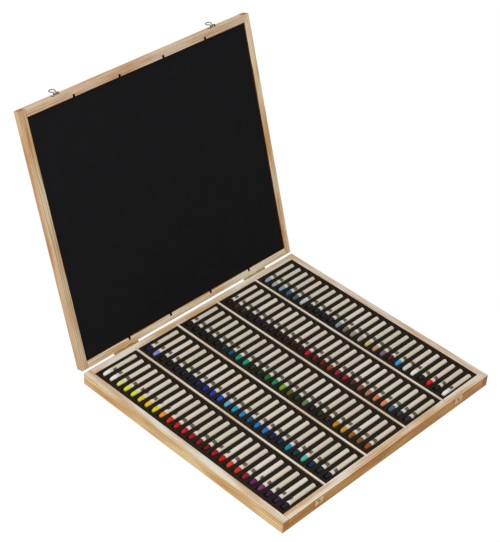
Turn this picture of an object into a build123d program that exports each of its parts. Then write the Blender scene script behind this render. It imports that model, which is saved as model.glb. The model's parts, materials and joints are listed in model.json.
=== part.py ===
"""A flat wooden case of oil pastels, lid leaning open on its stop hinges.

The origin is the centre of the underside. +X runs along the hinge line, +Y points to the hinges
and +Z up. The lid and its fittings are drawn in lid_frame, whose origin is the hinge pin and whose
+Z is the outside of the lid, so one angle opens them all.
"""

import os
from itertools import cycle
from math import cos, radians, sqrt, tan

from build123d import *

os.makedirs("parts", exist_ok=True)

# Case, mm
case_width = 460.0  # along the hinge line
case_depth = 420.0  # hinge side to latch side
base_height = 21.0
lid_height = 13.0
rail = 12.0  # thickness of the pine rails
panel = 3.0  # plywood under the base and on top of the lid
rabbet = 6.0  # how far a panel is let into the rails
arris = 0.6  # eased edges of the rails
glue_line = 0.1  # clearance between glued pieces
seam = 0.4  # gap between the two rims when the case is shut
stop_gap = 0.1  # left between metal and its stop
lid_open = 107.8  # degrees, lid against the heels of its hinges

# Dividers
divider = 3.5
dado_depth = 4.0
column_count = 5

# Pastels, laid across each column with their tips to the left
pastel_rows = 25
row_margin = 1.75  # from the first and last rows' share of the foam to the rails
row_shifts = (0.7, 0.1, 1.7, -0.6, -1.5)  # each tray's rows towards the hinges, as they were laid in
pastel_length = 65.0
pastel_radius = 4.2  # over the paper
pastel_proud = 1.0  # how far a pastel stands above the rim
bare_tip = 11.0  # coloured end that the paper leaves bare
tip_taper = 5.5
tip_radius = 2.6
tip_round = 1.0
paper = 0.2
paper_play = 0.03
butt_recess = 0.5  # paper stands past the blunt end

# Foam trays and lid pad
foam_sunk = 1.5  # top of the trays below the rim
foam_play = 0.3
slot_play = 0.2  # around a pastel
slot_end_play = 2.5
pad_play = 1.1  # further from the pastels than the seam alone leaves it

# Stop hinges on the back
hinge_length = 48.0
hinge_inset = 64.0  # from the end of the case
leaf_width = 9.5
leaf = 0.7
knuckle_radius = 1.6
knuckle_count = 5
knuckle_play = 0.25
bore_overshoot = 0.5  # of the cutter for the pin, past each end of a hinge
pin_radius = 0.9
pin_play = 0.05
pin_cap = 0.6
pin_cap_radius = 1.4
heel_length = 4.6
leaf_margin = 3.2  # edge of a leaf to its row of screws

# Wire bail latches on the front
latch_inset = 73.0  # from the end of the case to the middle of a latch
plate = 0.8
plate_corner = 1.5
bracket_width = 17.0
bracket_height = 8.0
pivot_height = 5.5  # above the rim of the lid
pivot_out = 2.4  # in front of the lid
bail_rest = 12.0  # degrees, folded bail off the edge of the lid
wire_radius = 0.8
wire_play = 0.06
leg_offset = 2.0
leg_bend = 1.0
ring_radius = 4.6
ring_distance = 10.0  # middle of the ring from the pivot
neck_radius = 2.0
ear = 1.0
ear_radius = 1.6
ear_gap = 0.2
bead = 1.2  # thickness of the bead that the folded bail leans on
catch_width = 17.0
catch_height = 11.0
catch_drop = 0.8  # plate below the rim of the base
tongue_width = 4.0
tongue = 1.4
tongue_out = 4.4
catch_play = 0.25

# Round-head wood screws
hinge_screw_radius = 1.1
latch_screw_radius = 0.8
screw_length = 8.0
screw_fit = 0.05
plate_margin = 2.4  # end of a latch plate to its screw
head_to_shank = 1.75
head_rise = 0.85  # height of a head against its shank radius
slot_to_shank = 0.4
slot_depth = 1.5  # against its width, half of it above the head

# Worked out from the sizes above
inner_width = case_width - 2 * rail
inner_depth = case_depth - 2 * rail
panel_width = inner_width + 2 * rabbet
panel_depth = inner_depth + 2 * rabbet
column_width = (inner_width - (column_count - 1) * divider) / column_count
column_step = column_width + divider
column_centres = [(n - (column_count - 1) / 2) * column_step for n in range(column_count)]
divider_centres = [x + column_step / 2 for x in column_centres[:-1]]
pastel_pitch = (inner_depth - 2 * row_margin) / pastel_rows
pastel_z = base_height + pastel_proud - pastel_radius
pad_sunk = pastel_proud + pad_play  # lid pad below the rim of the lid
axis_out = knuckle_radius + pin_play  # hinge pin behind the rear rails
pin_bore = hinge_length + 2 * bore_overshoot
hinge_y = case_depth / 2 + axis_out
hinge_z = base_height + seam / 2
lid_frame = Plane(origin=(0, hinge_y, hinge_z)).rotated((-lid_open, 0, 0))
lid_middle = -hinge_y  # centre of the lid, in lid_frame
lid_rim = seam / 2
lid_top = lid_rim + lid_height
lid_front = lid_middle - case_depth / 2
sides = (("left", -1), ("right", 1))
ends = (("front", -1), ("back", 1))


def keep(piece, name):
    """Label a finished piece and write it under its own name."""
    piece.part.label = name
    export_step(piece.part, f"parts/{name}.step")


def in_lid(plane):
    """A plane given in the shut case's directions, carried round with the lid."""
    return Plane(lid_frame * plane)


# ---- Seats of the screws: planes on the metal, their normals pointing out of the wood

hinge_centres = [sign * (case_width / 2 - hinge_inset - hinge_length / 2) for _, sign in sides]
latch_centres = [sign * (case_width / 2 - latch_inset) for _, sign in sides]
knuckle_length = (hinge_length - (knuckle_count - 1) * knuckle_play) / knuckle_count
knuckle_step = knuckle_length + knuckle_play
knuckle_offsets = [(n - (knuckle_count - 1) / 2) * knuckle_step for n in range(knuckle_count)]
base_knuckles = knuckle_offsets[0::2]
lid_knuckles = knuckle_offsets[1::2]
hinge_screw_drop = leaf_width - leaf_margin  # from the pin to the row of screws
latch_screw_offset = bracket_width / 2 - plate_margin
catch_screw_offset = catch_width / 2 - plate_margin
pivot_z = lid_rim + pivot_height
catch_middle = base_height - catch_drop - catch_height / 2


def rear_seat(x, y, z):
    return Plane(origin=(x, y, z), x_dir=(1, 0, 0), z_dir=(0, 1, 0))


def front_seat(x, y, z):
    return Plane(origin=(x, y, z), x_dir=(1, 0, 0), z_dir=(0, -1, 0))


base_hinge_seats = [
    rear_seat(x + offset, case_depth / 2 + leaf, hinge_z - hinge_screw_drop)
    for x in hinge_centres
    for offset in base_knuckles
]
lid_hinge_seats = [
    in_lid(rear_seat(x + offset, leaf - axis_out, hinge_screw_drop))
    for x in hinge_centres
    for offset in base_knuckles
]
catch_seats = [
    front_seat(x + side * catch_screw_offset, -case_depth / 2 - plate, catch_middle)
    for x in latch_centres
    for side in (-1, 1)
]
bracket_seats = [
    in_lid(front_seat(x + side * latch_screw_offset, lid_front - plate, pivot_z))
    for x in latch_centres
    for side in (-1, 1)
]


def screw_holes(seats, shank_radius):
    """Cut clearance for the shanks, from the metal into the wood."""
    with Locations(*[seat.offset(-screw_length / 2) for seat in seats]):
        Cylinder(shank_radius + screw_fit, screw_length, mode=Mode.SUBTRACT)


def wood_screws(name, seats, shank_radius):
    """One node of round-head screws, each with a slot across its head."""
    head_radius = shank_radius * head_to_shank
    head_height = shank_radius * head_rise
    slot = shank_radius * slot_to_shank
    length = screw_length - screw_fit
    with BuildPart() as screws:
        for seat in seats:
            with BuildSketch(Plane(origin=seat.origin, x_dir=seat.x_dir, z_dir=-seat.y_dir)):
                with BuildLine():
                    Polyline((0, 0), (0, -length), (shank_radius, shank_radius - length),
                             (shank_radius, 0), (head_radius, 0))
                    RadiusArc((head_radius, 0), (0, head_height),
                              -(head_radius**2 + head_height**2) / (2 * head_height))
                    Line((0, head_height), (0, 0))
                make_face()
            revolve(axis=Axis(seat.origin, seat.z_dir))
            with Locations(seat.offset(head_height)):
                Box(2 * head_radius, slot, slot * slot_depth, mode=Mode.SUBTRACT)
    keep(screws, name)


# ---- Base


def cut_panel_seat(y, z):
    """Rabbet for a plywood panel, stopped short of the outside all round."""
    with Locations((0, y, z)):
        Box(panel_width + 2 * glue_line, panel_depth + 2 * glue_line, panel, mode=Mode.SUBTRACT)


def cut_dados(y, z, height):
    """Grooves that take the ends of the dividers."""
    with Locations(*[(x, y, z) for x in divider_centres]):
        Box(divider + 2 * glue_line, dado_depth, height, mode=Mode.SUBTRACT)


for side, sign in sides:
    with BuildPart() as base_side_rail:
        with Locations((sign * (case_width - rail) / 2, 0, base_height / 2)):
            Box(rail, case_depth, base_height)
        fillet(base_side_rail.edges(), radius=arris)
        cut_panel_seat(0, panel / 2)
    keep(base_side_rail, f"base_{side}_rail")

for end, sign in ends:
    dado_y = sign * (inner_depth + dado_depth) / 2
    with BuildPart() as base_end_rail:
        with Locations((0, sign * (case_depth - rail) / 2, base_height / 2)):
            Box(inner_width, rail, base_height)
        fillet(base_end_rail.edges().filter_by(Axis.X), radius=arris)
        cut_panel_seat(0, panel / 2)
        cut_dados(dado_y, (base_height + panel) / 2, base_height - panel)
        if end == "front":
            screw_holes(catch_seats, latch_screw_radius)
        else:
            screw_holes(base_hinge_seats, hinge_screw_radius)
    keep(base_end_rail, f"base_{end}_rail")

with BuildPart() as base_panel:
    with Locations((0, 0, panel / 2)):
        Box(panel_width, panel_depth, panel)
keep(base_panel, "base_panel")

for number, x in enumerate(divider_centres, 1):
    with BuildPart() as divider_strip:
        with Locations((x, 0, (base_height + panel) / 2)):
            Box(divider, inner_depth + 2 * (dado_depth - glue_line), base_height - panel)
        fillet(divider_strip.edges().group_by(Axis.Z)[-1].filter_by(Axis.Y), radius=arris)
    keep(divider_strip, f"divider_{number}")

# ---- Foam trays, one in each column, with a slot for every pastel

tray_top = base_height - foam_sunk
slot_radius = pastel_radius + slot_play
slot_length = pastel_length + 2 * slot_end_play

for number, (x, shift) in enumerate(zip(column_centres, cycle(row_shifts)), 1):
    with BuildPart() as foam_tray:
        with Locations((x, 0, (tray_top + panel) / 2)):
            Box(column_width - 2 * foam_play, inner_depth - 2 * foam_play, tray_top - panel)
        with Locations((x, shift, (tray_top + pastel_z) / 2)):
            with GridLocations(pastel_pitch, pastel_pitch, 1, pastel_rows):
                Box(slot_length, 2 * slot_radius, tray_top - pastel_z, mode=Mode.SUBTRACT)
        with Locations((x, shift, pastel_z)):
            with GridLocations(pastel_pitch, pastel_pitch, 1, pastel_rows):
                Cylinder(slot_radius, slot_length, rotation=(0, 90, 0), mode=Mode.SUBTRACT)
    keep(foam_tray, f"foam_tray_{number}")

# ---- Pastels and their papers, one node of each for a column

core_radius = pastel_radius - paper - paper_play
tip_end = -pastel_length / 2
butt_end = pastel_length / 2 - butt_recess
paper_start = tip_end + bare_tip

with BuildPart() as one_pastel:
    with BuildSketch(Plane.XZ):
        with BuildLine():
            nose = Line((tip_end, 0), (tip_end, tip_radius - tip_round))
            shoulder = TangentArc(nose @ 1, (tip_end + tip_round, tip_radius), tangent=nose % 1)
            Polyline(shoulder @ 1, (tip_end + tip_taper, core_radius), (butt_end, core_radius),
                     (butt_end, 0), nose @ 0)
        make_face()
    revolve(axis=Axis.X)

with BuildPart() as one_paper:
    with BuildSketch(Plane.YZ.offset(paper_start)):
        Circle(pastel_radius)
        Circle(pastel_radius - paper, mode=Mode.SUBTRACT)
    extrude(amount=pastel_length - bare_tip)

for number, (x, shift) in enumerate(zip(column_centres, cycle(row_shifts)), 1):
    with BuildPart() as pastels:
        with Locations((x, shift, pastel_z)):
            with GridLocations(pastel_pitch, pastel_pitch, 1, pastel_rows):
                add(one_pastel.part)
    keep(pastels, f"pastels_{number}")

    with BuildPart() as papers:
        with Locations((x, shift, pastel_z)):
            with GridLocations(pastel_pitch, pastel_pitch, 1, pastel_rows):
                add(one_paper.part)
    keep(papers, f"pastel_papers_{number}")

# ---- Lid

for side, sign in sides:
    with BuildPart(lid_frame) as lid_side_rail:
        with Locations((sign * (case_width - rail) / 2, lid_middle, (lid_rim + lid_top) / 2)):
            Box(rail, case_depth, lid_height)
        fillet(lid_side_rail.edges(), radius=arris)
        cut_panel_seat(lid_middle, lid_top - panel / 2)
    keep(lid_side_rail, f"lid_{side}_rail")

for end, sign in ends:
    rail_y = lid_middle + sign * (case_depth - rail) / 2
    dado_y = lid_middle + sign * (inner_depth + dado_depth) / 2
    with BuildPart(lid_frame) as lid_end_rail:
        with Locations((0, rail_y, (lid_rim + lid_top) / 2)):
            Box(inner_width, rail, lid_height)
        fillet(lid_end_rail.edges().filter_by(Axis.X), radius=arris)
        cut_panel_seat(lid_middle, lid_top - panel / 2)
        cut_dados(dado_y, (lid_rim + lid_top - panel) / 2, lid_height - panel)
    with BuildPart() as drilled_rail:
        add(lid_end_rail.part)
        if end == "front":
            screw_holes(bracket_seats, latch_screw_radius)
        else:
            screw_holes(lid_hinge_seats, hinge_screw_radius)
    keep(drilled_rail, f"lid_{end}_rail")

with BuildPart(lid_frame) as lid_panel:
    with Locations((0, lid_middle, lid_top - panel / 2)):
        Box(panel_width, panel_depth, panel)
keep(lid_panel, "lid_panel")

pad_thickness = lid_height - panel - pad_sunk
with BuildPart(lid_frame) as lid_pad:
    with Locations((0, lid_middle, lid_rim + pad_sunk + pad_thickness / 2)):
        Box(inner_width - 2 * foam_play, inner_depth - 2 * foam_play, pad_thickness)
keep(lid_pad, "lid_pad")

# ---- Stop hinges: leaves on the outside of the back rails, knuckles behind the seam


def cut_knuckle_room(offsets):
    """Clear the other leaf's knuckles out of a leaf."""
    with Locations(*[(offset, 0, 0) for offset in offsets]):
        Box(knuckle_length + 2 * knuckle_play, 4 * knuckle_radius,
            2 * (knuckle_radius + knuckle_play), mode=Mode.SUBTRACT)


def add_knuckles(offsets):
    """Rolled knuckles of a leaf, bored for the pin."""
    with Locations(*[(offset, 0, 0) for offset in offsets]):
        Cylinder(knuckle_radius, knuckle_length, rotation=(0, 90, 0))
    Cylinder(pin_radius + pin_play, pin_bore, rotation=(0, 90, 0), mode=Mode.SUBTRACT)


for (side, _), x in zip(sides, hinge_centres):
    pin_frame = Plane(origin=(x, hinge_y, hinge_z))
    open_frame = Plane(origin=(x, hinge_y, hinge_z), z_dir=lid_frame.z_dir, x_dir=(1, 0, 0))

    with BuildPart(pin_frame) as base_leaf:
        with Locations((0, leaf / 2 - axis_out, -leaf_width / 2)):
            Box(hinge_length, leaf, leaf_width)
        cut_knuckle_room(lid_knuckles)
        add_knuckles(base_knuckles)
    with BuildPart() as drilled_leaf:
        add(base_leaf.part)
        screw_holes(base_hinge_seats, hinge_screw_radius)
    keep(drilled_leaf, f"hinge_{side}_base_leaf")

    # Each heel hangs from a knuckle of the lid's leaf and meets the base's leaf when the lid is open
    with BuildPart(open_frame) as lid_leaf:
        with Locations((0, leaf / 2 - axis_out, leaf_width / 2)):
            Box(hinge_length, leaf, leaf_width)
        cut_knuckle_room(base_knuckles)
        add_knuckles(lid_knuckles)
    with BuildPart(pin_frame) as heels:
        with Locations(*[(offset, leaf * 1.5 + stop_gap - axis_out, -heel_length / 2)
                         for offset in lid_knuckles]):
            Box(knuckle_length, leaf, heel_length)
        Cylinder(pin_radius + pin_play, pin_bore, rotation=(0, 90, 0), mode=Mode.SUBTRACT)
        split(bisect_by=pin_frame.offset(-pin_radius / 2), keep=Keep.BOTTOM)
    with BuildPart() as stop_leaf:
        add(lid_leaf.part)
        add(heels.part)
        screw_holes(lid_hinge_seats, hinge_screw_radius)
    keep(stop_leaf, f"hinge_{side}_lid_leaf")

    with BuildPart(pin_frame) as hinge_pin:
        Cylinder(pin_radius, hinge_length, rotation=(0, 90, 0))
        with Locations(*[(sign * (hinge_length + pin_cap) / 2, 0, 0) for _, sign in sides]):
            Cylinder(pin_cap_radius, pin_cap, rotation=(0, 90, 0))
    keep(hinge_pin, f"hinge_{side}_pin")

wood_screws("base_hinge_screws", base_hinge_seats, hinge_screw_radius)
wood_screws("lid_hinge_screws", lid_hinge_seats, hinge_screw_radius)

# ---- Latches: a wire bail on the lid swings down over a tongue on the base

ear_offset = leg_offset + leg_bend + ear_gap + ear / 2
stub_end = ear_offset + ear / 2 + ear_gap
lean = radians(bail_rest)
bead_reach = bracket_height / 2 - bead  # from the pivot to the near side of the bead
bead_height = pivot_out + bead_reach * tan(lean) - wire_radius / cos(lean) - plate - stop_gap
neck_x = leg_offset + neck_radius
neck_drop = sqrt((ring_radius + neck_radius) ** 2 - neck_x**2)
leg_end = ring_distance - neck_drop
ring_share = ring_radius / (ring_radius + neck_radius)
neck_end = (neck_x * ring_share, ring_distance - neck_drop * ring_share)
bail_reach = ring_distance + ring_radius - wire_radius  # pivot to the inside of the ring
ring_bore = ring_radius - wire_radius
ring_rise = ring_bore - sqrt(ring_bore**2 - (tongue_width / 2) ** 2)  # of the ring beside the tongue
tongue_z = base_height + seam + pivot_height - bail_reach + ring_rise + catch_play

for (side, _), x in zip(sides, latch_centres):
    pivot = in_lid(Plane(origin=(x, lid_front - pivot_out, pivot_z)))
    with BuildPart(pivot) as bracket:
        with Locations((0, pivot_out - plate / 2, 0)):
            Box(bracket_width, plate, bracket_height)
        fillet(bracket.edges().filter_by(Axis(pivot.origin, pivot.y_dir)), radius=plate_corner)
        with Locations(*[(sign * ear_offset, (pivot_out - plate) / 2, 0) for _, sign in sides]):
            Box(ear, pivot_out - plate, 2 * ear_radius)
        with Locations(*[(sign * ear_offset, 0, 0) for _, sign in sides]):
            Cylinder(ear_radius, ear, rotation=(0, 90, 0))
        Cylinder(wire_radius + wire_play, bracket_width, rotation=(0, 90, 0), mode=Mode.SUBTRACT)
        with Locations((0, pivot_out - plate - bead_height / 2, bracket_height / 2 - bead / 2)):
            Box(2 * (leg_offset + leg_bend), bead_height, bead)
    with BuildPart() as drilled_bracket:
        add(bracket.part)
        screw_holes(bracket_seats, latch_screw_radius)
    keep(drilled_bracket, f"latch_{side}_bracket")

    # Stub, leg, neck and half of the ring, mirrored to close the bail
    folded = pivot.rotated((bail_rest, 0, 0))
    bail_plane = Plane(origin=pivot.origin, x_dir=(1, 0, 0), z_dir=-folded.y_dir)
    with BuildPart() as bail:
        with BuildLine(bail_plane) as wire:
            Line((stub_end, 0), (leg_offset + leg_bend, 0))
            RadiusArc((leg_offset + leg_bend, 0), (leg_offset, leg_bend), leg_bend)
            Line((leg_offset, leg_bend), (leg_offset, leg_end))
            RadiusArc((leg_offset, leg_end), neck_end, neck_radius)
            ThreePointArc(neck_end, (ring_radius, ring_distance), (0, ring_distance + ring_radius))
            mirror(about=Plane(origin=pivot.origin, z_dir=(1, 0, 0)))
        with BuildSketch(Plane(origin=wire.line @ 0, z_dir=wire.line % 0)):
            Circle(wire_radius)
        sweep()
    keep(bail, f"latch_{side}_bail")

    with BuildPart() as catch:
        with Locations((x, -case_depth / 2 - plate / 2, catch_middle)):
            Box(catch_width, plate, catch_height)
        fillet(catch.edges().filter_by(Axis.Y), radius=plate_corner)
        with Locations((x, -case_depth / 2 - tongue_out / 2, tongue_z + tongue / 2)):
            Box(tongue_width, tongue_out, tongue)
        screw_holes(catch_seats, latch_screw_radius)
    keep(catch, f"latch_{side}_catch")

wood_screws("lid_latch_screws", bracket_seats, latch_screw_radius)
wood_screws("base_latch_screws", catch_seats, latch_screw_radius)
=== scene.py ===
import json
import math
import random

import bpy
from mathutils import Euler, Matrix, Vector


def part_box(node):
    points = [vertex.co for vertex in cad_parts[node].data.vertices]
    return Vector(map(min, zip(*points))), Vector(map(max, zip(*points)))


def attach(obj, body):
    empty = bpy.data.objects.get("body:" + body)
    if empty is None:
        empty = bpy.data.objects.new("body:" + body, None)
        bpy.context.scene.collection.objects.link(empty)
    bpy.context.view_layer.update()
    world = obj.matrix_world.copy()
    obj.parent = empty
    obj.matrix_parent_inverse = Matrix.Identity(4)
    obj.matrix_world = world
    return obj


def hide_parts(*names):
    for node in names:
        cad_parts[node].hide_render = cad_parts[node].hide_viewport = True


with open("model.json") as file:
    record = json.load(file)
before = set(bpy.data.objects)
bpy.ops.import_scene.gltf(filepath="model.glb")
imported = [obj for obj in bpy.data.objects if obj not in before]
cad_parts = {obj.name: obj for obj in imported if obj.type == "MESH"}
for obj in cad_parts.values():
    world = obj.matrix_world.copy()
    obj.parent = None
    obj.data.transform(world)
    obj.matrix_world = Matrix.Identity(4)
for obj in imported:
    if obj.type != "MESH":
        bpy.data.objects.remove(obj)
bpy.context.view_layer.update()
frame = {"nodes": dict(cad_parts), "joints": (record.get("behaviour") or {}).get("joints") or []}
cadNodes = frame["nodes"]
mm = 0.001
tiny = 1e-6  # m, within which two places are the same
rowCount = 25
columnCount = 5
print("frame loaded")

# The lid turns about the hinge pins, and its joint's range is the angle that it stands open at rest.
lidJoint = next(joint for joint in frame["joints"] if joint["name"] == "lid_hinge")
openAngle = math.radians(lidJoint["range_deg"][1])
pinPlace = Vector(lidJoint["pos_m"])
openLid = Matrix.Translation(pinPlace) @ Matrix.Rotation(-openAngle, 4, "X") @ Matrix.Translation(-pinPlace)


# Small helpers

def linear(hexColour):
    channels = [int(hexColour[i:i + 2], 16) / 255 for i in (1, 3, 5)]
    return [c / 12.92 if c <= 0.04045 else ((c + 0.055) / 1.055) ** 2.4 for c in channels] + [1.0]


def addNode(owner, kind, settings=None, stops=()):
    tree = owner.node_tree
    node = tree.nodes.new("ShaderNode" + kind)
    inputs = {}
    for name, value in (settings or {}).items():  # properties first, as they decide which sockets are live
        if isinstance(name, str) and hasattr(node, name):
            setattr(node, name, value)
        else:
            inputs[name] = value
    for name, value in inputs.items():
        socket = node.inputs[name] if isinstance(name, int) else next(
            s for s in node.inputs if s.enabled and s.name == name)
        if isinstance(value, bpy.types.NodeSocket):
            tree.links.new(value, socket)
        else:
            socket.default_value = value
    for number, (place, colour) in enumerate(stops):
        ramp = node.color_ramp.elements
        stop = ramp[number] if number < 2 else ramp.new(place)
        stop.position = place
        stop.color = colour
    return node


def span(limits, end="From"):
    # A range's two sockets.
    return {f"{end} Min": limits[0], f"{end} Max": limits[1]}


def grey(level):
    return (level, level, level, 1.0)


def newMaterial(name):
    material = bpy.data.materials.new(name)
    material.use_nodes = True
    material.node_tree.nodes.clear()
    return material


def closeMaterial(material, shader):
    addNode(material, "OutputMaterial", {"Surface": shader.outputs[0]})
    return material


def paint(node, material):
    cadNodes[node].data.materials.clear()
    cadNodes[node].data.materials.append(material)


def pickOnly(piece):
    bpy.ops.object.select_all(action="DESELECT")
    piece.select_set(True)
    bpy.context.view_layer.objects.active = piece


def choose(piece, kind, test):
    # Selects the faces, edges or vertices that pass the test, and stays in edit mode.
    pickOnly(piece)
    bpy.ops.object.mode_set(mode="EDIT")
    bpy.ops.mesh.select_mode(type=kind)
    bpy.ops.mesh.select_all(action="DESELECT")
    bpy.ops.object.mode_set(mode="OBJECT")
    mesh = piece.data
    group = {"FACE": mesh.polygons, "EDGE": mesh.edges, "VERT": mesh.vertices}[kind]
    for element in group:
        element.select = test(element)
    bpy.ops.object.mode_set(mode="EDIT")


def stopEditing():
    bpy.ops.object.mode_set(mode="OBJECT")


def finishModifier(piece, kind, **settings):
    modifier = piece.modifiers.new(kind.lower(), kind)
    for name, value in settings.items():
        setattr(modifier, name, value)
    pickOnly(piece)
    bpy.ops.object.modifier_apply(modifier=modifier.name)


def smooth(piece, degrees):
    pickOnly(piece)
    bpy.ops.object.shade_smooth_by_angle(angle=math.radians(degrees))


def settle(piece, matrix=None):
    # Puts a piece's place into its mesh and its object at the origin.
    bpy.context.view_layer.update()
    piece.data.transform((matrix or Matrix.Identity(4)) @ piece.matrix_world)
    piece.matrix_world = Matrix.Identity(4)


def shutBox(node):
    # The box of a lid node in the shut lid's directions.
    places = [openLid.inverted() @ vertex.co for vertex in cadNodes[node].data.vertices]
    low = Vector(min(place[axis] for place in places) for axis in range(3))
    high = Vector(max(place[axis] for place in places) for axis in range(3))
    return low, high


# Wood

grain = {
    "ringSpacing": 2.4,  # mm between growth rings
    "ringWander": 5.0,  # mm that a ring strays from a circle
    "wanderLength": 260.0,
    "wanderWidth": 26.0,
    "fibreLength": 26.0,
    "fibreWidth": 0.9,  # drawn coarser than real fibres, which don't show at this size
    "patchLength": 95.0,
    "patchWidth": 13.0,
    "ringDepth": 0.8,  # how much of the late tone each pattern brings
    "patchDepth": 0.85,
    "fibreDepth": 1.0,
    "paleShare": 0.66,
    "patchRange": (0.35, 0.68),
    "rimRange": (0.45, 0.85),  # how nearly a face has to look the rim's way to take the rim's tone
    "squareRange": (0.75, 0.95),  # the same for sawn ends and inner walls
    "roughness": (0.42, 0.62),
    "relief": 0.05,
    "lateTone": "#d4a66c",
    # painted shade on the walls inside the case
    "innerShadeTone": "#7a5a3c",
}
notchShade = {"halfWidth": 2.1, "depth": 4.2, "tone": "#1d140c"}  # mm, just over the dados of the lid rails; the tone is painted shade inside them
acrossX = Euler((0, 0, 0))
acrossY = Euler((0, 0, math.radians(-90)))
lidAcrossX = Euler((openAngle, 0, 0))
lidAcrossY = Euler((openAngle, 0, math.radians(-90)))


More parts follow.
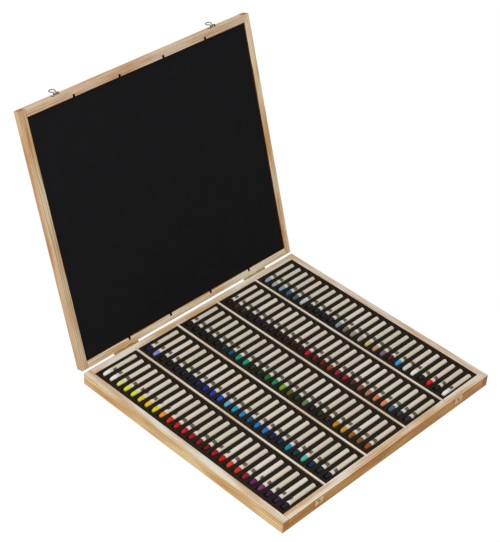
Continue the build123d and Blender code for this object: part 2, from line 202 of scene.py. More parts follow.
def wood(name, node, turn, pith, rimDirection, faceTone, rimBareAndLitTone, contrast=1.0, endTone="#ffffff",
         innerDirection=None, notchSide=0):
    # turn brings the grain onto X, and pith is the log's centre in mm from the middle of the piece.
    low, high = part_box(node)
    middle = turn.to_matrix() @ ((low + high) / 2)
    material = newMaterial(name)
    coordinates = addNode(material, "TexCoord")
    turned = addNode(material, "Mapping", {
        "Vector": coordinates.outputs["Object"], "Rotation": turn,
        "Location": Vector((pith[0], pith[1], pith[2])) * mm - middle})
    wanderPlace = addNode(material, "Mapping", {
        "Vector": turned.outputs[0],
        "Scale": (1 / (grain["wanderLength"] * mm), 1 / (grain["wanderWidth"] * mm),
                  1 / (grain["wanderWidth"] * mm))})
    wander = addNode(material, "TexNoise", {
        "Vector": wanderPlace.outputs[0], "Scale": 1.0, "Detail": 2.0, "Roughness": 0.45})
    stray = addNode(material, "VectorMath", {
        "operation": "MULTIPLY_ADD", 0: wander.outputs["Color"],
        1: (0.0, 2 * grain["ringWander"] * mm, 2 * grain["ringWander"] * mm), 2: turned.outputs[0]})
    rings = addNode(material, "TexWave", {
        "wave_type": "RINGS", "rings_direction": "X", "wave_profile": "SAW", "Vector": stray.outputs[0],
        "Scale": math.pi / 10 / (grain["ringSpacing"] * mm), "Distortion": 0.6, "Detail": 2.0,
        "Detail Scale": 0.4})
    ringTone = addNode(material, "ValToRGB", {"Fac": rings.outputs["Fac"]}, stops=[
        (0.0, grey(0.0)), (1.0, grey(0.25)), (0.45, grey(0.12)), (0.86, grey(0.85)), (0.94, grey(1.0))])
    fibrePlace = addNode(material, "Mapping", {
        "Vector": turned.outputs[0],
        "Scale": (1 / (grain["fibreLength"] * mm), 1 / (grain["fibreWidth"] * mm),
                  1 / (grain["fibreWidth"] * mm))})
    fibres = addNode(material, "TexNoise", {
        "Vector": fibrePlace.outputs[0], "Scale": 1.0, "Detail": 4.0, "Roughness": 0.6})
    patchPlace = addNode(material, "Mapping", {
        "Vector": turned.outputs[0],
        "Scale": (1 / (grain["patchLength"] * mm), 1 / (grain["patchWidth"] * mm),
                  1 / (grain["patchWidth"] * mm))})
    patches = addNode(material, "TexNoise", {
        "Vector": patchPlace.outputs[0], "Scale": 1.0, "Detail": 2.0, "Roughness": 0.5})
    patchShare = addNode(material, "MapRange", {
        "Value": patches.outputs["Fac"], **span(grain["patchRange"])})
    rimShare = addNode(material, "VectorMath", {
        "operation": "DOT_PRODUCT", 0: coordinates.outputs["Normal"], 1: rimDirection})
    # faces that look the rim's way take the paler rim tone: bare sanded wood, and a painted highlight for the
    # light washing the faces that look up
    rimBareAndLitMask = addNode(material, "MapRange", {
        "Value": rimShare.outputs["Value"], **span(grain["rimRange"])})
    face = addNode(material, "Mix", {
        "data_type": "RGBA", "Factor": rimBareAndLitMask.outputs[0], "A": linear(faceTone), "B": linear(rimBareAndLitTone)})
    endShare = addNode(material, "VectorMath", {
        "operation": "DOT_PRODUCT", 0: coordinates.outputs["Normal"],
        1: turn.to_matrix().inverted() @ Vector((1, 0, 0))})
    endTurn = addNode(material, "Math", {"operation": "ABSOLUTE", 0: endShare.outputs["Value"]})
    endMask = addNode(material, "MapRange", {"Value": endTurn.outputs[0], **span(grain["squareRange"])})
    cut = addNode(material, "Mix", {  # sawn ends drink more lacquer, and darken
        "data_type": "RGBA", "blend_type": "MULTIPLY", "Factor": endMask.outputs[0],
        "A": face.outputs["Result"], "B": linear(endTone)})
    if innerDirection:  # the walls inside are darkened: painted shade inside the case
        innerShare = addNode(material, "VectorMath", {
            "operation": "DOT_PRODUCT", 0: coordinates.outputs["Normal"], 1: innerDirection})
        innerShadeMask = addNode(material, "MapRange", {
            "Value": innerShare.outputs["Value"], **span(grain["squareRange"])})
        cut = addNode(material, "Mix", {
            "data_type": "RGBA", "blend_type": "MULTIPLY", "Factor": innerShadeMask.outputs[0],
            "A": cut.outputs["Result"], "B": linear(grain["innerShadeTone"])})
    late = addNode(material, "Mix", {
        "data_type": "RGBA", "blend_type": "MULTIPLY", "Factor": 1.0, "A": cut.outputs["Result"],
        "B": linear(grain["lateTone"])})
    ringed = addNode(material, "Math", {
        "operation": "MULTIPLY", 0: ringTone.outputs["Color"], 1: grain["ringDepth"] * contrast})
    patched = addNode(material, "Math", {
        "operation": "MULTIPLY_ADD", 0: patchShare.outputs[0], 1: grain["patchDepth"] * contrast,
        2: ringed.outputs[0]})
    fibred = addNode(material, "Math", {
        "operation": "MULTIPLY_ADD", 0: fibres.outputs["Fac"], 1: grain["fibreDepth"] * contrast,
        2: patched.outputs[0]})
    share = addNode(material, "Math", {
        "operation": "SUBTRACT", "use_clamp": True, 0: fibred.outputs[0], 1: grain["paleShare"] * contrast})
    colour = addNode(material, "Mix", {
        "data_type": "RGBA", "Factor": share.outputs[0], "A": cut.outputs["Result"],
        "B": late.outputs["Result"]})
    if notchSide:  # the ends of the dados on the inner side of a lid rail, darkened inside with painted shade
        shutLow, shutHigh = shutBox(node)
        inner = (shutHigh.y - shutLow.y) / 2 - notchShade["depth"] * mm
        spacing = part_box("divider_2")[0].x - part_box("divider_1")[0].x
        place = addNode(material, "SeparateXYZ", {"Vector": turned.outputs[0]})
        steps = addNode(material, "Math", {
            "operation": "MULTIPLY_ADD", 0: place.outputs["X"], 1: 1 / spacing, 2: -pith[0] * mm / spacing})
        phase = addNode(material, "Math", {"operation": "FRACT", 0: steps.outputs[0]})
        aside = addNode(material, "Math", {"operation": "SUBTRACT", 0: phase.outputs[0], 1: 0.5})
        off = addNode(material, "Math", {"operation": "ABSOLUTE", 0: aside.outputs[0]})
        inSlot = addNode(material, "Math", {
            "operation": "LESS_THAN", 0: off.outputs[0], 1: notchShade["halfWidth"] * mm / spacing})
        inward = addNode(material, "Math", {
            "operation": "MULTIPLY_ADD", 0: place.outputs["Y"], 1: notchSide, 2: -notchSide * pith[1] * mm})
        deep = addNode(material, "Math", {"operation": "GREATER_THAN", 0: inward.outputs[0], 1: inner})
        notchShadeMask = addNode(material, "Math", {
            "operation": "MULTIPLY", 0: inSlot.outputs[0], 1: deep.outputs[0]})
        colour = addNode(material, "Mix", {
            "data_type": "RGBA", "Factor": notchShadeMask.outputs[0], "A": colour.outputs["Result"],
            "B": linear(notchShade["tone"])})
    roughness = addNode(material, "MapRange", {
        "Value": fibres.outputs["Fac"], **span(grain["roughness"], "To")})
    relief = addNode(material, "Bump", {
        "Height": fibred.outputs[0], "Strength": 0.5, "Distance": grain["relief"] * mm})
    shader = addNode(material, "BsdfPrincipled", {
        "Base Color": colour.outputs["Result"], "Roughness": roughness.outputs[0],
        "Normal": relief.outputs[0], "IOR": 1.5, "Specular IOR Level": 0.35})
    return closeMaterial(material, shader)


# Pine under a thin satin lacquer: honey-coloured sides, and rims paler where the halves meet, partly sanded
# bare and partly a painted highlight for the light washing the faces that look up. The lid front rail's outer
# face looks up too, and its pale tone carries the same painted highlight.
up = (0.0, 0.0, 1.0)
lidUp = tuple(openLid.to_3x3() @ Vector((0.0, 0.0, -1.0)))
rails = {
    "base_left_rail": (acrossY, (0, 28, -34), up, "#e2ca95", "#ece8dc"),
    "base_right_rail": (acrossY, (90, -31, -26), up, "#d6b480", "#ede9df"),
    "base_front_rail": (acrossX, (40, 22, -40), up, "#cf9f48", "#efe9dd"),
    "base_back_rail": (acrossX, (200, 35, -22), up, "#d0aa72", "#ebeae2"),
    "lid_left_rail": (lidAcrossY, (300, -26, -30), lidUp, "#d5b58a", "#d9c7a7"),
    "lid_right_rail": (lidAcrossY, (150, 30, -32), lidUp, "#d0ac78", "#f0e0bc"),
    "lid_front_rail": (lidAcrossX, (70, -36, 24), lidUp, "#d8c5a6", "#e0cab0"),
    # the lid back rail's rim is lighter than the other lid rims: painted light thrown up from the base's rim
    "lid_back_rail": (lidAcrossX, (10, 24, 33), lidUp, "#d0aa72", "#f4eed8"),
}
notchSides = {"lid_front_rail": 1, "lid_back_rail": -1}
sawnTone = "#dcae72"


def inwardOf(node):
    half, side, _ = node.split("_")
    inward = Vector({"left": (1, 0, 0), "right": (-1, 0, 0), "front": (0, 1, 0), "back": (0, -1, 0)}[side])
    return tuple(openLid.to_3x3() @ inward) if half == "lid" else tuple(inward)


for node, (turn, pith, rimDirection, faceTone, rimBareAndLitTone) in rails.items():
    paint(node, wood("pine_lacquered_" + node, node, turn, pith, rimDirection, faceTone, rimBareAndLitTone,
                     endTone=sawnTone, innerDirection=inwardOf(node), notchSide=notchSides.get(node, 0)))

# Thin strips of a pale close-grained wood, sanded and left bare.
# their tops take the paler rim tone, partly a painted highlight as on the rails
strips = {"faceTone": "#d9c3a6", "rimBareAndLitTone": "#eae4d8", "contrast": 0.5}
for number in range(1, columnCount):
    node = f"divider_{number}"
    paint(node, wood("basswood_sanded_" + node, node, acrossY, (70 * number, 40, -60), up,
                     **strips))

# Birch plywood, rotary cut: the figure runs in broad bands along the hinge side.
plywood = {"faceTone": "#dcc6a2", "rimBareAndLitTone": "#dcc6a2", "contrast": 0.4}
paint("base_panel", wood("birch_plywood_base", "base_panel", acrossX, (0, 30, -150), (0, 0, -1),
                         **plywood))
paint("lid_panel", wood("birch_plywood_lid", "lid_panel", lidAcrossX, (120, -40, 170),
                        tuple(-axis for axis in lidUp), **plywood))
print("wood painted")

# Metal fittings

metalLook = {"cloud": 4.0, "dullRange": (0.4, 0.72), "dullShare": 0.6, "earShadeRange": (0.3, 0.6),
             "smoother": 0.08, "rougher": 0.12, "relief": 0.02}

def pressedMetal(name, tone, roughness, scratch, dullTone, earShadeTone=None):
    # Thin pressed sheet or drawn wire, plated: even colour, dulled in small clouds, finely scratched.
    material = newMaterial(name)
    coordinates = addNode(material, "TexCoord")
    clouds = addNode(material, "TexNoise", {
        "Vector": coordinates.outputs["Object"], "Scale": 1 / (metalLook["cloud"] * mm), "Detail": 3.0,
        "Roughness": 0.6})
    scratches = addNode(material, "TexNoise", {
        "Vector": coordinates.outputs["Object"], "Scale": 1 / (scratch * mm), "Detail": 2.0})
    dull = addNode(material, "MapRange", {
        "Value": clouds.outputs["Fac"], **span(metalLook["dullRange"]), "To Max": metalLook["dullShare"]})
    colour = addNode(material, "Mix", {
        "data_type": "RGBA", "Factor": dull.outputs[0], "A": linear(tone), "B": linear(dullTone)})
    if earShadeTone:  # the folded ears stand across X, and are darkened there with painted shade
        normal = addNode(material, "SeparateXYZ", {"Vector": coordinates.outputs["Normal"]})
        across = addNode(material, "Math", {"operation": "ABSOLUTE", 0: normal.outputs["X"]})
        earShadeMask = addNode(material, "MapRange", {"Value": across.outputs[0], **span(metalLook["earShadeRange"])})
        colour = addNode(material, "Mix", {
            "data_type": "RGBA", "Factor": earShadeMask.outputs[0], "A": colour.outputs["Result"],
            "B": linear(earShadeTone)})
    polish = addNode(material, "MapRange", {
        "Value": clouds.outputs["Fac"], "To Min": roughness - metalLook["smoother"],
        "To Max": roughness + metalLook["rougher"]})
    relief = addNode(material, "Bump", {
        "Height": scratches.outputs["Fac"], "Strength": 0.25, "Distance": metalLook["relief"] * mm})
    shader = addNode(material, "BsdfPrincipled", {
        "Base Color": colour.outputs["Result"], "Metallic": 1.0, "Roughness": polish.outputs[0],
        "Normal": relief.outputs[0]})
    return closeMaterial(material, shader)


brass = pressedMetal("brass_plated_steel_pressed", tone="#bb9654", dullTone="#8a6732",
                     roughness=0.34, scratch=0.5)
paleBrass = pressedMetal("brass_washed_steel_pressed", tone="#c9b084", dullTone="#a88f66",
                         roughness=0.4, scratch=0.5)
bracketBrass = pressedMetal("brass_washed_steel_folded", tone="#d3bd98", dullTone="#b39a70",
                            roughness=0.4, scratch=0.5, earShadeTone="#1c1814")
wire = pressedMetal("nickel_plated_steel_drawn", tone="#6d6b67", dullTone="#4a4845",
                    roughness=0.26, scratch=0.4)
for side in ("left", "right"):
    for node in (f"hinge_{side}_base_leaf", f"hinge_{side}_lid_leaf", f"hinge_{side}_pin"):
        paint(node, brass)
    paint(f"latch_{side}_catch", paleBrass)
    paint(f"latch_{side}_bracket", bracketBrass)
    paint(f"latch_{side}_bail", wire)
paint("base_hinge_screws", brass)
paint("lid_hinge_screws", brass)
paint("base_latch_screws", paleBrass)
paint("lid_latch_screws", paleBrass)
print("fittings painted")

# Foam

foamLook = {"cell": 0.9, "drift": 35.0, "pitRange": (0.1, 0.75), "toneRange": (0.1, 1.2),
            "roughness": 0.92, "specular": 0.06, "relief": 0.12}


def foam(name, tone, pitShadeTone):
    # Black polyethylene foam, skived: dead matt, with the walls of cut cells as a fine even pitting. The pits
    # are darkened with painted shade, and the tone drifts at random across the sheet.
    material = newMaterial(name)
    coordinates = addNode(material, "TexCoord")
    cells = addNode(material, "TexVoronoi", {
        "Vector": coordinates.outputs["Object"], "Scale": 1 / (foamLook["cell"] * mm), "Randomness": 1.0})
    drift = addNode(material, "TexNoise", {
        "Vector": coordinates.outputs["Object"], "Scale": 1 / (foamLook["drift"] * mm), "Detail": 3.0,
        "Roughness": 0.6})
    pits = addNode(material, "MapRange", {
        "Value": cells.outputs["Distance"], **span(foamLook["pitRange"])})
    pitted = addNode(material, "Math", {
        "operation": "MULTIPLY_ADD", 0: drift.outputs["Fac"], 1: 0.5, 2: pits.outputs[0]})
    share = addNode(material, "MapRange", {"Value": pitted.outputs[0], **span(foamLook["toneRange"])})
    colour = addNode(material, "Mix", {
        "data_type": "RGBA", "Factor": share.outputs[0], "A": linear(pitShadeTone), "B": linear(tone)})
    relief = addNode(material, "Bump", {
        "Height": pits.outputs[0], "Strength": 0.6, "Distance": foamLook["relief"] * mm})
    shader = addNode(material, "BsdfPrincipled", {
        "Base Color": colour.outputs["Result"], "Roughness": foamLook["roughness"],
        "Normal": relief.outputs[0], "Specular IOR Level": foamLook["specular"]})
    return closeMaterial(material, shader)


trayFoam = foam("polyethylene_foam_die_cut", "#2b251c", "#15120e")
padFoam = foam("polyethylene_foam_skived_black", "#1c1c1e", "#111112")

lidPad = {"edgeRadius": 2.2, "edgeSteps": 5, "cuts": 36, "swell": 0.35, "swellSize": 70.0,
          "swellMiddle": 0.9, "smoothAngle": 40}


def makeLidPad():
    # Starts as a plane behind the face, brought out to it by insets that follow a quarter round.
    low, high = shutBox("lid_pad")
    radius = lidPad["edgeRadius"] * mm
    bpy.ops.object.select_all(action="DESELECT")
    bpy.ops.mesh.primitive_plane_add(size=1, location=(0, (low.y + high.y) / 2, low.z + radius),
                                     rotation=(math.pi, 0, 0))
    pad = bpy.context.object
    pad.name = "lidPadFoam"
    pad.scale = (high.x - low.x, high.y - low.y, 1)
    settle(pad)
    choose(pad, "FACE", lambda face: True)
    for step in range(lidPad["edgeSteps"]):
        start, end = (math.pi / 2 * (step + turn) / lidPad["edgeSteps"] for turn in (0, 1))
        bpy.ops.mesh.inset(thickness=radius * (math.cos(start) - math.cos(end)),
                           depth=radius * (math.sin(end) - math.sin(start)))
    bpy.ops.mesh.subdivide(number_cuts=lidPad["cuts"])
    stopEditing()
    border = [edge.index for edge in pad.data.edges
              if all(abs(pad.data.vertices[v].co.z - low.z - radius) < tiny for v in edge.vertices)]
    choose(pad, "EDGE", lambda edge: edge.index in border)
    bpy.ops.mesh.extrude_region_move(TRANSFORM_OT_translate={"value": (0, 0, high.z - low.z - radius)})
    bpy.ops.mesh.edge_face_add()
    bpy.ops.mesh.select_all(action="SELECT")
    bpy.ops.mesh.normals_make_consistent(inside=False)
    stopEditing()
    swell = bpy.data.textures.new("padSwell", "CLOUDS")
    swell.noise_scale = lidPad["swellSize"] * mm
    face = pad.vertex_groups.new(name="face")
    face.add([v.index for v in pad.data.vertices if v.co.z < low.z + tiny], 1.0, "REPLACE")
    finishModifier(pad, "DISPLACE", texture=swell, texture_coords="LOCAL", mid_level=lidPad["swellMiddle"],
                   strength=lidPad["swell"] * mm, vertex_group="face")
    smooth(pad, lidPad["smoothAngle"])
    settle(pad, openLid)
    pad.data.materials.append(padFoam)
    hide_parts("lid_pad")
    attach(pad, "lid")


makeLidPad()
print("lid pad made")

# Pastels: their places come from the CAD's sticks and papers


def columnPlaces(number):
    # Tip end, blunt end and height of a column's pastels, and the rows from the back to the front.
    stickLow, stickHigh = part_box(f"pastels_{number}")
    paperLow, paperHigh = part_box(f"pastel_papers_{number}")
    radius = (paperHigh.z - paperLow.z) / 2
    rows = [paperHigh.y - radius - (paperHigh.y - paperLow.y - 2 * radius) * row / (rowCount - 1)
            for row in range(rowCount)]
    return {"tip": stickLow.x, "stickEnd": stickHigh.x, "paperStart": paperLow.x, "paperEnd": paperHigh.x,
            "z": (paperHigh.z + paperLow.z) / 2, "radius": radius, "rows": rows,
            "stickRadius": (stickHigh.z - stickLow.z) / 2}


tray = {"slotPlay": 0.06, "slotEndPlay": 2.5, "slotSteps": 10, "lengthSteps": 9, "lip": 0.25, "crown": 0.3,
        "wobble": 0.35, "wobbleSize": 11.0, "wobbleMiddle": 0.75, "sharpAngle": 50, "smoothAngle": 40,
        "weld": 0.01}


def makeTray(number):
    # One row's share of the sheet is cut and sunk, then arrayed and closed to a block.
    low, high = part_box(f"foam_tray_{number}")
    high.z += tray["crown"] * mm  # cut foam stands a little above its plain block
    places = columnPlaces(number)
    slotRadius = places["radius"] + tray["slotPlay"] * mm
    slotEnds = (places["tip"] - tray["slotEndPlay"] * mm, places["paperEnd"] + tray["slotEndPlay"] * mm)
    firstRow = places["rows"][-1]
    pitch = places["rows"][0] - places["rows"][1]
    bpy.ops.object.select_all(action="DESELECT")
    bpy.ops.mesh.primitive_plane_add(size=1, location=((low.x + high.x) / 2, firstRow, high.z))
    block = bpy.context.object
    block.name = f"trayFoam{number}"
    block.scale = (high.x - low.x, pitch, 1)
    settle(block)
    step = (slotEnds[1] - slotEnds[0]) / tray["lengthSteps"]
    cuts = [((slotEnds[0] + step * n, 0, 0), (1, 0, 0)) for n in range(tray["lengthSteps"] + 1)]
    cuts += [((0, firstRow + sign * slotRadius, 0), (0, 1, 0)) for sign in (-1, 1)]
    for place, direction in cuts:
        choose(block, "FACE", lambda face: True)
        bpy.ops.mesh.bisect(plane_co=place, plane_no=direction)
        stopEditing()
    inSlot = lambda face: (slotEnds[0] < face.center.x < slotEnds[1]
                           and abs(face.center.y - firstRow) < slotRadius)
    choose(block, "FACE", inSlot)
    bpy.ops.mesh.extrude_region_move(TRANSFORM_OT_translate={"value": (0, 0, places["z"] - high.z)})
    stopEditing()
    for turn in range(1, tray["slotSteps"]):
        y = firstRow + slotRadius * math.cos(math.pi * turn / tray["slotSteps"])
        choose(block, "FACE", lambda face: abs(face.center.z - places["z"]) < tiny)
        bpy.ops.mesh.bisect(plane_co=(0, y, 0), plane_no=(0, 1, 0))
        stopEditing()
    for vertex in block.data.vertices:
        if vertex.co.z < high.z - tiny:
            across = min(1.0, abs(vertex.co.y - firstRow) / slotRadius)
            vertex.co.z -= slotRadius * math.sqrt(1 - across ** 2)
    finishModifier(block, "ARRAY", count=rowCount, use_relative_offset=False, use_constant_offset=True,
                   constant_offset_displace=(0, pitch, 0), use_merge_vertices=True,
                   merge_threshold=tray["weld"] * mm)
    for vertex in block.data.vertices:  # the end rows reach the rails
        if vertex.co.y < firstRow - pitch / 2 + tray["weld"] * mm:
            vertex.co.y = low.y
        if vertex.co.y > places["rows"][0] + pitch / 2 - tray["weld"] * mm:
            vertex.co.y = high.y
    outline = boundaryEdges(block)
    choose(block, "EDGE", lambda edge: edge.index in outline)
    bpy.ops.mesh.extrude_region_move(TRANSFORM_OT_translate={"value": (0, 0, low.z - high.z)})
    bpy.ops.mesh.edge_face_add()
    bpy.ops.mesh.select_all(action="SELECT")
    bpy.ops.mesh.normals_make_consistent(inside=False)
    stopEditing()
    finishModifier(block, "BEVEL", width=tray["lip"] * mm, segments=2, limit_method="ANGLE",
                   angle_limit=math.radians(tray["sharpAngle"]))
    wobble = bpy.data.textures.new("foamWobble", "CLOUDS")
    wobble.noise_scale = tray["wobbleSize"] * mm
    finishModifier(block, "DISPLACE", texture=wobble, texture_coords="LOCAL", mid_level=tray["wobbleMiddle"],
                   strength=tray["wobble"] * mm)
    smooth(block, tray["smoothAngle"])
    block.data.materials.append(trayFoam)
    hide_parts(f"foam_tray_{number}")
    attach(block, "base")


def boundaryEdges(piece):
    faceCount = {}
    for polygon in piece.data.polygons:
        for key in polygon.edge_keys:
            faceCount[key] = faceCount.get(key, 0) + 1
    return {edge.index for edge in piece.data.edges if faceCount.get(tuple(sorted(edge.vertices)), 0) == 1}


for number in range(1, columnCount + 1):
    makeTray(number)
print("foam trays made")

pigments = {
    "white": "#f1efea", "paleLemon": "#dfe07a", "lemon": "#dce334", "goldenYellow": "#e9cf1e",
    "cadmiumYellow": "#f2c80e", "yellow": "#e6d40c", "orangeYellow": "#ef9a12", "vermilion": "#cf3a17",
    "red": "#c8181c", "crimsonRed": "#c01430", "crimson": "#a50d28", "carmine": "#8e0f24",
    "darkCrimson": "#6d0c1e", "coral": "#d8473a", "coralRed": "#d2302f", "magentaCrimson": "#9e1440",
    "violetMagenta": "#6b1f5e", "mauve": "#7a3a72", "deepViolet": "#33164a", "deepPurple": "#2b1038",
    "violetBlue": "#221f57", "lavender": "#8e8fd0", "blueBlack": "#11141f", "indigoViolet": "#191533",
    "indigo": "#151a3d", "darkUltramarine": "#151f63", "ultramarine": "#1c2f8e",
    "brightUltramarine": "#2742ad",
    "cobalt": "#1d56b8", "lightCyanBlue": "#5fb2dc", "turquoiseCyan": "#1b9fc0", "cerulean": "#2a86c4",
    "tealBlue": "#0f5f80", "azure": "#2579c2", "prussianBlue": "#0e2a4a", "ceruleanCyan": "#1592b8",
    "darkTeal": "#0c3d48", "lightTurquoise": "#58bda6", "darkTealBlue": "#0c3350", "veryDarkTeal": "#0c2430",
    "navy": "#10182c", "navyGreen": "#10201f", "nearBlack": "#131313", "blueTeal": "#0e5a70",
    "turquoiseGreen": "#12a184", "greyGreen": "#23322a", "darkGreen": "#123a24", "green": "#157a3c",
    "emerald": "#0f8f55", "yellowGreen": "#7fae2c", "oliveGreen": "#5c6a26", "sageGreen": "#6f8464",
    "veryDarkGreen": "#11261a", "darkOlive": "#2b2c16", "darkBrown": "#33211a", "goldenOchre": "#c08a26",
    "ochreYellow": "#cf9f3a", "brownOchre": "#9a6425", "tanBrown": "#8c5e3a", "brownOrange": "#a4562a",
    "blackBrown": "#211814", "brown": "#4a2c1c", "greyBrown": "#3a322c", "darkViolet": "#25163a",
    "darkPurple": "#2a1432", "darkPlum": "#33151f", "blackPlum": "#1d0f16", "darkWine": "#431019",
    "darkRed": "#6f1512", "brickOrange": "#a3462a", "raspberry": "#96233f", "mauveRed": "#5f2230",
    "pinkishBrown": "#93584c", "rosyTan": "#b57f6d", "salmonOrange": "#dc7a55", "salmon": "#e08e72",
    "greyBlue": "#56697c", "darkSlate": "#27313a", "greenGrey": "#28312c", "lightGreyBlue": "#9aa9bb",
    "lightGrey": "#aeb0ae", "lightSteelBlue": "#8fa5bd", "midBlue": "#3f6491", "veryPaleBlue": "#bccbd6",
    "darkTealBlack": "#101c20", "darkNavy": "#121a30", "paleGreyBlue": "#8d9cab", "khakiGrey": "#7f7b66",
    "beigeGrey": "#a39a88", "greyBeige": "#bdb4a2", "paleOchre": "#d3bf80", "tanPeach": "#c99f78",
    "greyMauve": "#80707c", "magentaWine": "#5c1534", "skyBlue": "#4aa0d4", "silverWhite": "#d8d9d8",
    "blackGreen": "#101812", "brightRed": "#d9141b", "black": "#0d0d0e",
}
columnPigments = [
    """white white paleLemon lemon lemon goldenYellow cadmiumYellow yellow orangeYellow vermilion red
    crimsonRed crimson carmine darkCrimson crimson red coral coralRed magentaCrimson violetMagenta mauve
    deepViolet deepViolet deepPurple""",
    """violetBlue lavender blueBlack blueBlack indigoViolet indigo indigo darkUltramarine ultramarine
    brightUltramarine cobalt lightCyanBlue turquoiseCyan cerulean tealBlue azure azure darkUltramarine
    prussianBlue ceruleanCyan darkTeal lightTurquoise darkTealBlue veryDarkTeal navy""",
    """blueBlack blueBlack blueBlack navyGreen nearBlack darkTeal blueTeal turquoiseGreen turquoiseGreen
    greyGreen darkGreen green emerald yellowGreen oliveGreen darkGreen sageGreen veryDarkGreen darkOlive
    darkBrown goldenOchre ochreYellow brownOchre tanBrown brownOrange""",
    """blackBrown brown greyBrown blueBlack darkViolet darkPurple darkPlum blackPlum darkPlum darkWine
    darkWine crimsonRed darkRed darkRed brickOrange raspberry crimson mauveRed pinkishBrown rosyTan
    salmonOrange salmon greyBlue darkSlate greenGrey""",
    """lightGreyBlue lightGrey lightSteelBlue midBlue greyBlue veryPaleBlue darkTealBlack darkTealBlack
    navy darkNavy paleGreyBlue khakiGrey beigeGrey greyBeige paleOchre tanPeach greyMauve magentaWine
    skyBlue silverWhite white blackGreen brightRed black white""",
]


wax = {"cloud": 1.6, "bloomRange": (0.45, 0.8), "bloom": 0.02, "bloomTone": "#d8d4cc", "depth": 1.12,
       "roughness": (0.38, 0.6), "relief": 0.08, "specular": 0.22}


def pastelWax():
    # Oil pastel, cast in a mould: opaque soft wax, faintly cloudy, with a dull greasy shine.
    material = newMaterial("oil_pastel_cast")
    coordinates = addNode(material, "TexCoord")
    pigment = addNode(material, "Attribute", {"attribute_name": "pigment"})
    clouds = addNode(material, "TexNoise", {
        "Vector": coordinates.outputs["Object"], "Scale": 1 / (wax["cloud"] * mm), "Detail": 3.0,
        "Roughness": 0.65})
    bloom = addNode(material, "MapRange", {
        "Value": clouds.outputs["Fac"], **span(wax["bloomRange"]), "To Max": wax["bloom"]})
    deep = addNode(material, "Gamma", {"Color": pigment.outputs["Color"], "Gamma": wax["depth"]})
    colour = addNode(material, "Mix", {
        "data_type": "RGBA", "Factor": bloom.outputs[0], "A": deep.outputs["Color"],
        "B": linear(wax["bloomTone"])})
    shine = addNode(material, "MapRange", {
        "Value": clouds.outputs["Fac"], **span(wax["roughness"], "To")})
    relief = addNode(material, "Bump", {
        "Height": clouds.outputs["Fac"], "Strength": 0.35, "Distance": wax["relief"] * mm})
    shader = addNode(material, "BsdfPrincipled", {
        "Base Color": colour.outputs["Result"], "Roughness": shine.outputs[0], "Normal": relief.outputs[0],
        "IOR": 1.44, "Specular IOR Level": wax["specular"]})
    return closeMaterial(material, shader)


paperPrint = {"whiteBand": 4.7, "markStart": 5.4, "markEnd": 12.4, "markMiddle": 20.6, "markHalf": 4.2,
              "softness": 0.7, "collarTone": "#e7e3da", "mottleTone": "#f0e8da", "ink": "#33240f",
              "inkStrength": 1.75}


def wrapperPaper():
    # Uncoated cream paper: matt, mottled by its fibres, with a whiter printed collar and a plain brown mark.
    material = newMaterial("wrapper_paper_uncoated")
    wrap = addNode(material, "UVMap", {"uv_map": "wrap"})
    along = addNode(material, "SeparateXYZ", {"Vector": wrap.outputs[0]})
    collar = addNode(material, "MapRange", {
        "Value": along.outputs["Y"], "From Min": paperPrint["whiteBand"],
        "From Max": paperPrint["whiteBand"] + paperPrint["softness"], "To Min": 1.0, "To Max": 0.0})
    markStart = addNode(material, "MapRange", {
        "Value": along.outputs["Y"], "From Min": paperPrint["markStart"],
        "From Max": paperPrint["markStart"] + paperPrint["softness"]})
    markEnd = addNode(material, "MapRange", {
        "Value": along.outputs["Y"], "From Min": paperPrint["markEnd"],
        "From Max": paperPrint["markEnd"] + paperPrint["softness"], "To Min": 1.0, "To Max": 0.0})
    aside = addNode(material, "Math", {
        "operation": "SUBTRACT", 0: along.outputs["X"], 1: paperPrint["markMiddle"]})
    off = addNode(material, "Math", {"operation": "ABSOLUTE", 0: aside.outputs[0]})
    markTurn = addNode(material, "MapRange", {
        "Value": off.outputs[0], "From Min": paperPrint["markHalf"],
        "From Max": paperPrint["markHalf"] + paperPrint["softness"], "To Min": 1.0, "To Max": 0.0})
    markLength = addNode(material, "Math", {
        "operation": "MULTIPLY", 0: markStart.outputs[0], 1: markEnd.outputs[0]})
    mark = addNode(material, "Math", {
        "operation": "MULTIPLY", 0: markLength.outputs[0], 1: markTurn.outputs[0]})
    mottle = addNode(material, "TexNoise", {
        "Vector": wrap.outputs[0], "Scale": 0.9, "Detail": 4.0, "Roughness": 0.65})
    inked = addNode(material, "Math", {
        "operation": "MULTIPLY", 0: mark.outputs[0], 1: mottle.outputs["Fac"]})
    inkShare = addNode(material, "MapRange", {"Value": inked.outputs[0], "To Max": paperPrint["inkStrength"]})
    tone = addNode(material, "Attribute", {"attribute_name": "paperTone"})
    plain = addNode(material, "Mix", {
        "data_type": "RGBA", "Factor": collar.outputs[0], "A": tone.outputs["Color"],
        "B": linear(paperPrint["collarTone"])})
    mottled = addNode(material, "Mix", {
        "data_type": "RGBA", "blend_type": "MULTIPLY", "Factor": mottle.outputs["Fac"],
        "A": plain.outputs["Result"], "B": linear(paperPrint["mottleTone"])})
    colour = addNode(material, "Mix", {
        "data_type": "RGBA", "Factor": inkShare.outputs[0], "A": mottled.outputs["Result"],
        "B": linear(paperPrint["ink"])})
    relief = addNode(material, "Bump", {
        "Height": mottle.outputs["Fac"], "Strength": 0.3, "Distance": 0.05 * mm})
    shader = addNode(material, "BsdfPrincipled", {
        "Base Color": colour.outputs["Result"], "Roughness": 0.72, "Normal": relief.outputs[0],
        "Specular IOR Level": 0.3})
    return closeMaterial(material, shader)


pastel = {"sides": 20, "taper": 5.5, "noseRadius": 2.6, "noseRound": 1.0, "roundSteps": 3, "slide": 0.35,
          "tilt": 0.25, "smoothAngle": 50}
wrapper = {"sides": 20, "thickness": 0.16, "seamStep": 0.12, "rings": 4, "smoothAngle": 50}


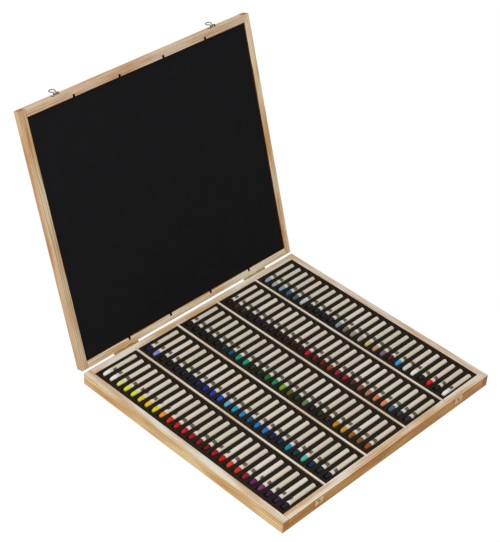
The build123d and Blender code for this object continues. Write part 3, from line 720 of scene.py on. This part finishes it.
def makeStick(places):
    # Lies along X with its tip at 0. The tip is drawn in from the taper to a small flat nose.
    length = places["stickEnd"] - places["tip"]
    bpy.ops.object.select_all(action="DESELECT")
    bpy.ops.mesh.primitive_cylinder_add(vertices=pastel["sides"], radius=places["stickRadius"],
                                        depth=length, location=(length / 2, 0, 0),
                                        rotation=(0, math.pi / 2, 0))
    stick = bpy.context.object
    settle(stick)
    choose(stick, "FACE", lambda face: True)
    bpy.ops.mesh.bisect(plane_co=(pastel["taper"] * mm, 0, 0), plane_no=(1, 0, 0))
    stopEditing()
    choose(stick, "VERT", lambda vertex: vertex.co.x < tiny)
    share = pastel["noseRadius"] * mm / places["stickRadius"]
    bpy.ops.transform.resize(value=(1, share, share), center_override=(0, 0, 0))
    stopEditing()
    nose = {edge.index for edge in stick.data.edges
            if all(stick.data.vertices[v].co.x < tiny for v in edge.vertices)}
    choose(stick, "EDGE", lambda edge: edge.index in nose)
    bpy.ops.mesh.bevel(offset=pastel["noseRound"] * mm, segments=pastel["roundSteps"], affect="EDGES")
    stopEditing()
    smooth(stick, pastel["smoothAngle"])
    return stick


def makeWrapper(places):
    # A strip rolled once round the stick: its radius grows by the paper's step to the lap.
    length = places["paperEnd"] - places["paperStart"]
    start = places["paperStart"] - places["tip"]
    bpy.ops.object.select_all(action="DESELECT")
    bpy.ops.mesh.primitive_cylinder_add(vertices=wrapper["sides"], radius=places["radius"], depth=length,
                                        end_fill_type="NOTHING", location=(start + length / 2, 0, 0),
                                        rotation=(0, math.pi / 2, 0))
    roll = bpy.context.object
    settle(roll)
    for ring in range(1, wrapper["rings"]):
        choose(roll, "FACE", lambda face: True)
        bpy.ops.mesh.bisect(plane_co=(start + length * ring / wrapper["rings"], 0, 0), plane_no=(1, 0, 0))
        stopEditing()
    for vertex in roll.data.vertices:
        turn = math.atan2(vertex.co.z, vertex.co.y) / (2 * math.pi) % 1.0
        share = 1 - wrapper["seamStep"] * mm * (1 - turn) / places["radius"]
        vertex.co.y *= share
        vertex.co.z *= share
    layers = roll.data.uv_layers
    while layers:
        layers.remove(layers[0])
    wrap = layers.new(name="wrap")
    girth = 2 * math.pi * places["radius"] / mm
    for polygon in roll.data.polygons:
        middle = math.atan2(polygon.center.z, polygon.center.y)
        for loop in polygon.loop_indices:
            place = roll.data.vertices[roll.data.loops[loop].vertex_index].co
            turn = math.atan2(place.z, place.y)
            turn += round((middle - turn) / (2 * math.pi)) * 2 * math.pi
            wrap.data[loop].uv = ((turn / (2 * math.pi) + 0.5) * girth, (place.x - start) / mm)
    finishModifier(roll, "SOLIDIFY", thickness=wrapper["thickness"] * mm, offset=-1.0)
    smooth(roll, wrapper["smoothAngle"])
    return roll


def setTone(piece, name, colour):
    tones = piece.data.color_attributes.new(name=name, type="FLOAT_COLOR", domain="POINT")
    for tone in tones.data:
        tone.color = colour


def copyPiece(piece, place):
    copy = piece.copy()
    copy.data = piece.data.copy()
    bpy.context.scene.collection.objects.link(copy)
    copy.data.transform(place)
    return copy


def joinPieces(pieces, name):
    bpy.ops.object.select_all(action="DESELECT")
    for piece in pieces:
        piece.select_set(True)
    bpy.context.view_layer.objects.active = pieces[0]
    bpy.ops.object.join()
    pieces[0].name = name
    return pieces[0]


waxMaterial = pastelWax()
paperMaterial = wrapperPaper()
hand = random.Random(25)  # seeded, so that every run lays them alike
paperTones = ("#e4dfcf", "#dcd8c4", "#e9e4da", "#ded3c5", "#e7dbcc")
markSpin = (1.5, 0.8, 0.6, 0.6, 0.6)  # how far each column's marks are turned from the top, in radians
for number in range(1, columnCount + 1):
    places = columnPlaces(number)
    stick = makeStick(places)
    roll = makeWrapper(places)
    sticks = []
    rolls = []
    for y, pigmentName in zip(places["rows"], columnPigments[number - 1].split()):
        slide = hand.uniform(-pastel["slide"], 0) * mm
        turn = hand.uniform(-1, 1) * markSpin[number - 1]
        tilt = math.radians(hand.uniform(-pastel["tilt"], pastel["tilt"]))
        place = (Matrix.Translation((places["tip"] - slide, y, places["z"]))
                 @ Matrix.Rotation(tilt, 4, "Z") @ Matrix.Rotation(turn, 4, "X"))
        sticks.append(copyPiece(stick, place))
        setTone(sticks[-1], "pigment", linear(pigments[pigmentName]))
        rolls.append(copyPiece(roll, place))
        setTone(rolls[-1], "paperTone", linear(hand.choice(paperTones)))
    bpy.data.objects.remove(stick)
    bpy.data.objects.remove(roll)
    sticks = joinPieces(sticks, f"pastelSticks{number}")
    sticks.data.materials.append(waxMaterial)
    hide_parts(f"pastels_{number}")
    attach(sticks, "base")
    rolls = joinPieces(rolls, f"pastelWrappers{number}")
    rolls.data.materials.append(paperMaterial)
    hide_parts(f"pastel_papers_{number}")
    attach(rolls, "base")
print("pastels made")

# Floor, light and camera

studio = {"floorSize": 9.0, "keyPower": 28.0, "keyDistance": 2.2, "keySize": 1.5, "skyStrength": 0.5,
          "keyFrom": (-0.607, -0.097, 0.789), "aim": (0.0, 0.05, 0.1), "card": 0.78, "glowShare": 0.92,
          "glow": 1.06}


def seenDirectly(owner):
    # 1 for what the camera, or a reflection or glass, sees of the background.
    path = addNode(owner, "LightPath")
    glossy = addNode(owner, "Math", {
        "operation": "MAXIMUM", 0: path.outputs["Is Camera Ray"], 1: path.outputs["Is Glossy Ray"]})
    return addNode(owner, "Math", {
        "operation": "MAXIMUM", 0: glossy.outputs[0], 1: path.outputs["Is Transmission Ray"]})


def makeFloor():
    bpy.ops.object.select_all(action="DESELECT")
    bpy.ops.mesh.primitive_plane_add(size=studio["floorSize"])
    floor = bpy.context.object
    floor.name = "floor"
    material = newMaterial("studio_card_matt")
    seen = seenDirectly(material)
    share = addNode(material, "Math", {"operation": "MULTIPLY", 0: seen.outputs[0], 1: studio["glowShare"]})
    card = addNode(material, "BsdfDiffuse", {"Color": grey(studio["card"])})
    glow = addNode(material, "Emission", {"Color": grey(1.0), "Strength": studio["glow"]})
    shader = addNode(material, "MixShader", {0: share.outputs[0], 1: card.outputs[0], 2: glow.outputs[0]})
    floor.data.materials.append(closeMaterial(material, shader))


def makeSky():
    world = bpy.data.worlds.new("studioSky")
    world.use_nodes = True
    world.node_tree.nodes.clear()
    seen = seenDirectly(world)
    strength = addNode(world, "MapRange", {
        "Value": seen.outputs[0], "To Min": studio["skyStrength"], "To Max": 1.0})
    sky = addNode(world, "Background", {"Color": grey(1.0), "Strength": strength.outputs[0]})
    addNode(world, "OutputWorld", {"Surface": sky.outputs[0]})
    bpy.context.scene.world = world


def makeKey():
    aim = Vector(studio["aim"])
    direction = Vector(studio["keyFrom"]).normalized()
    lamp = bpy.data.lights.new("keyLight", "AREA")
    lamp.shape = "DISK"
    lamp.size = studio["keySize"]
    lamp.energy = studio["keyPower"]
    key = bpy.data.objects.new("keyLight", lamp)
    bpy.context.scene.collection.objects.link(key)
    key.location = aim + direction * studio["keyDistance"]
    key.rotation_euler = (-direction).to_track_quat("-Z", "Y").to_euler()


makeFloor()
makeSky()
makeKey()

# The camera that the straight edges of the case ask for.
view = {"azimuth": -47.495, "elevation": 37.250, "roll": 3.604, "distance": 2.367162, "aside": -0.056922,
        "above": 0.174781, "focalPixels": 1535.175, "pictureHeight": 542, "sensor": 36.0,
        "near": 0.05, "far": 50}


def makeCamera():
    azimuth = math.radians(view["azimuth"])
    elevation = math.radians(view["elevation"])
    back = Vector((math.sin(azimuth) * math.cos(elevation), -math.cos(azimuth) * math.cos(elevation),
                   math.sin(elevation)))
    level = Vector((math.cos(azimuth), math.sin(azimuth), 0))
    rolled = Matrix.Rotation(math.radians(view["roll"]), 3, back)
    right = rolled @ level
    over = back.cross(right)
    lens = bpy.data.cameras.new("camera")
    lens.sensor_width = view["sensor"]
    lens.lens = view["focalPixels"] * view["sensor"] / view["pictureHeight"]
    lens.clip_start = view["near"]
    lens.clip_end = view["far"]
    camera = bpy.data.objects.new("camera", lens)
    bpy.context.scene.collection.objects.link(camera)
    place = back * view["distance"] + right * view["aside"] + over * view["above"]
    camera.matrix_world = Matrix.Translation(place) @ Matrix((right, over, back)).transposed().to_4x4()
    bpy.context.scene.camera = camera


makeCamera()
bpy.context.scene.view_settings.view_transform = "Standard"
print("studio made")
